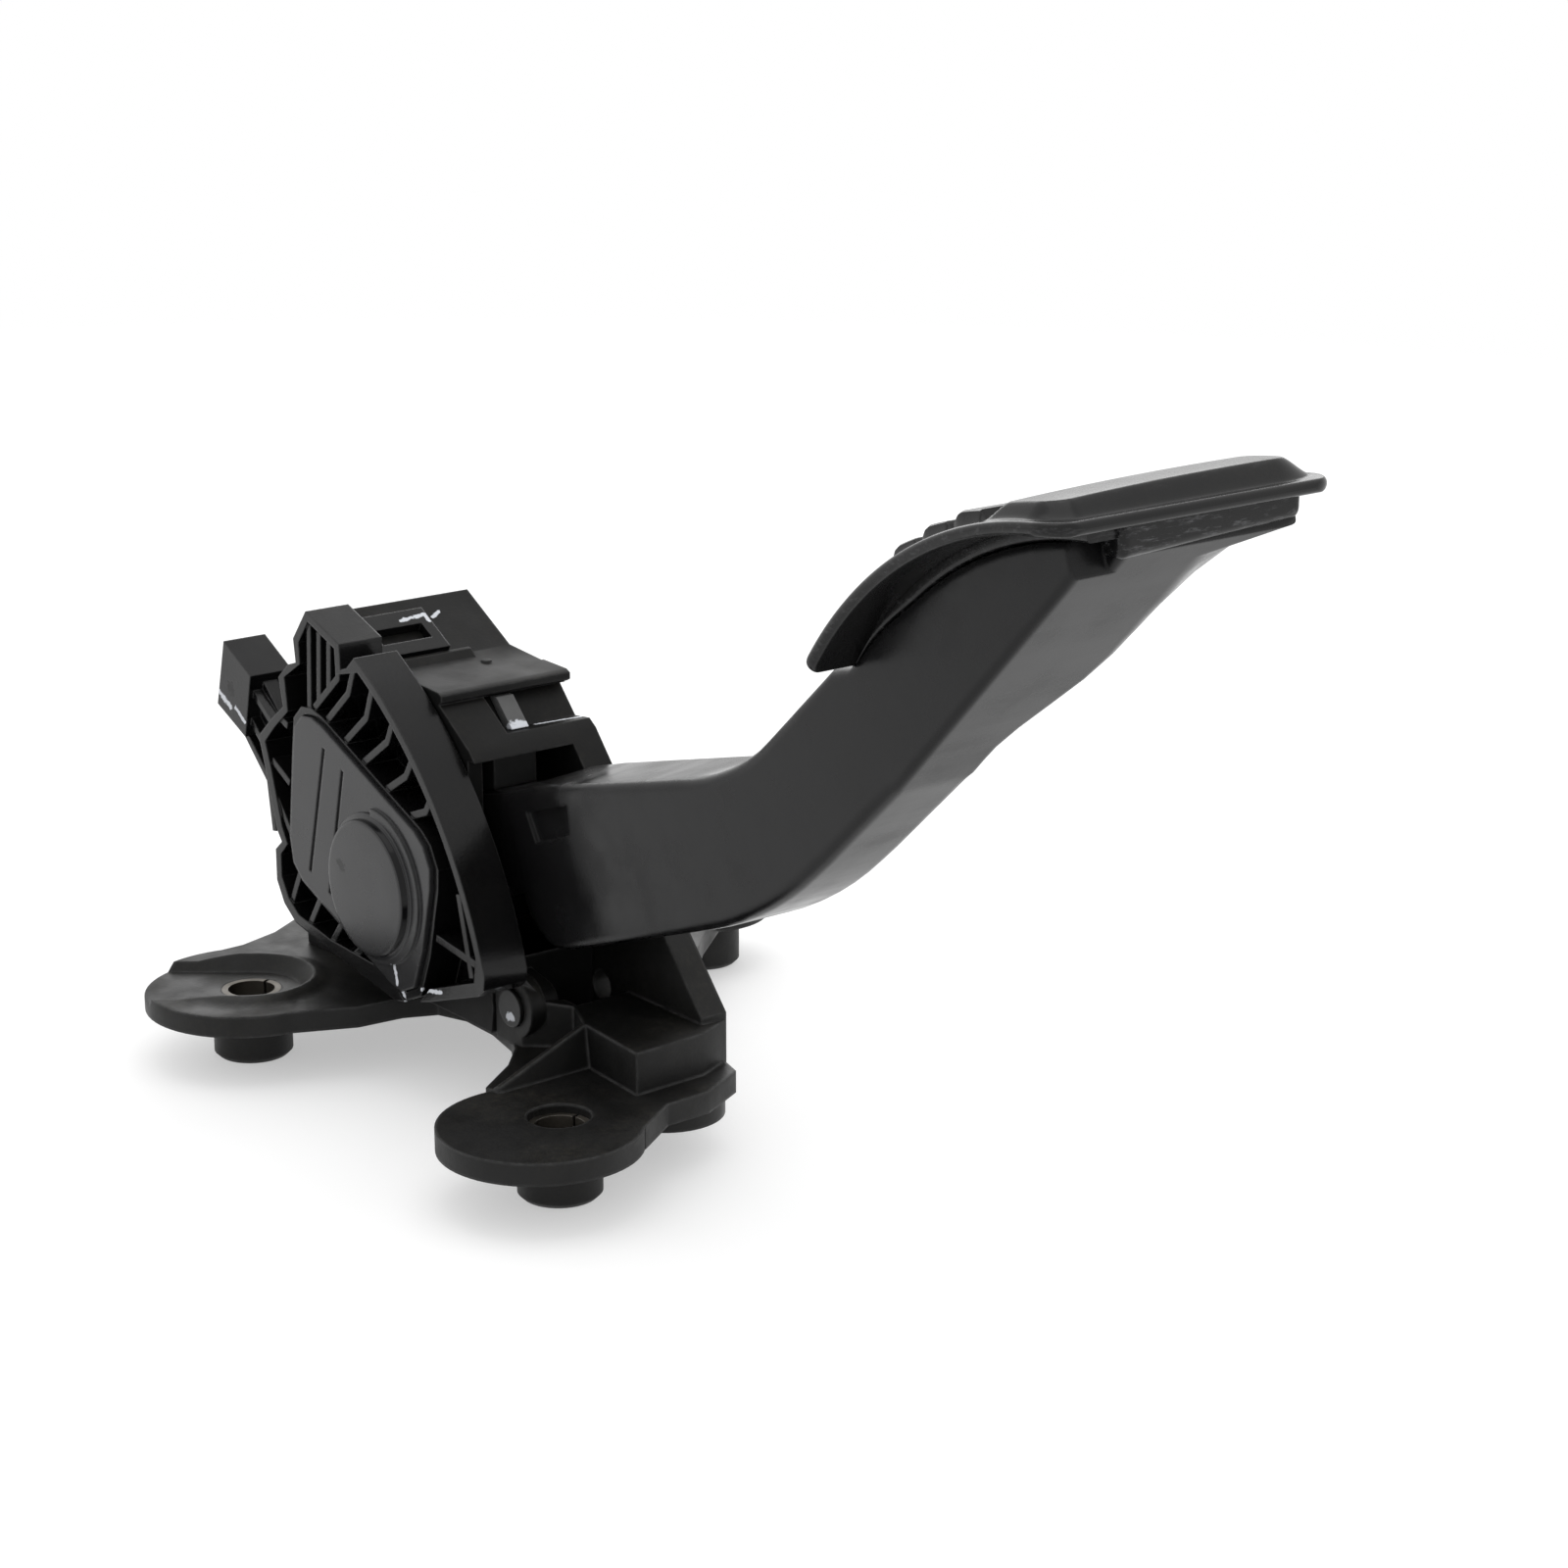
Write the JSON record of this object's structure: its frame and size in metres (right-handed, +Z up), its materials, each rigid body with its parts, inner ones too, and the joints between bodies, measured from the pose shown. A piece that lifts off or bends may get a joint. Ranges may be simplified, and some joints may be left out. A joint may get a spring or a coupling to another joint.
{
  "type": "accelerator pedal",
  "caption": "Plastic accelerator pedal module: three-footed bracket, sensor housing with ribbed cover and plug socket, and a sprung bent arm carrying a curved rubber pad.",
  "frame": {"origin": "centre of the front left mounting hole at the mounting face", "axes": "+X along the arm towards the pad, +Y along the pivot axis away from the sensor lid, +Z up from the mounting face"},
  "size_m": [0.2343, 0.1299, 0.1355],
  "materials": {
    "bracket_plastic": "moulded, matte, dusty",
    "housing_plastic": "moulded, satin",
    "cover_plastic": "moulded, slightly glossy",
    "lid_plastic": "moulded, satin",
    "arm_plastic": "moulded, satin, glass filled",
    "pad_rubber": "satin, scuffed at the rim",
    "stop_rubber": "matte",
    "pin_plastic": "satin",
    "tongue_plastic": "satin",
    "sleeve_steel": "plated, rolled",
    "shaft_steel": "ground",
    "spring_steel": "drawn wire",
    "bush_plastic": "natural bearing plastic",
    "cup_plastic": "natural",
    "shoe_plastic": "friction lining",
    "board_laminate": "lacquered",
    "terminal_brass": "tinned",
    "magnet_grey": "sintered"
  },
  "bodies": {
    "base": {"base_bracket": "bracket_plastic", "bolt_sleeve_1": "sleeve_steel", "bolt_sleeve_2": "sleeve_steel", "bolt_sleeve_3": "sleeve_steel", "pedal_housing": "housing_plastic", "housing_pin": "pin_plastic", "latch_tongue": "tongue_plastic", "sensor_cover": "cover_plastic", "sensor_lid": "lid_plastic", "lid_seal": "stop_rubber", "circuit_board": "board_laminate", "connector_terminals": "terminal_brass", "pivot_bush_near": "bush_plastic", "pivot_bush_far": "bush_plastic", "return_spring_outer": "spring_steel", "return_spring_inner": "spring_steel", "friction_shoe": "shoe_plastic", "idle_stop": "stop_rubber"},
    "pedal": {"pedal_arm": "arm_plastic", "pedal_pad": "pad_rubber", "pivot_shaft": "shaft_steel", "sensor_rotor": "bush_plastic", "sensor_magnet": "magnet_grey", "spring_cup": "cup_plastic"}
  },
  "joints": [
    {"name": "pedal_pivot", "type": "hinge", "parent": "base", "child": "pedal", "pos_m": [0.026, 0.0315, 0.037], "axis": [0, 1, 0], "range_deg": [0, 15], "stiffness_Nm_per_rad": 7, "springref_deg": -16.04, "deforming": ["return_spring_outer", "return_spring_inner"]}
  ]
}
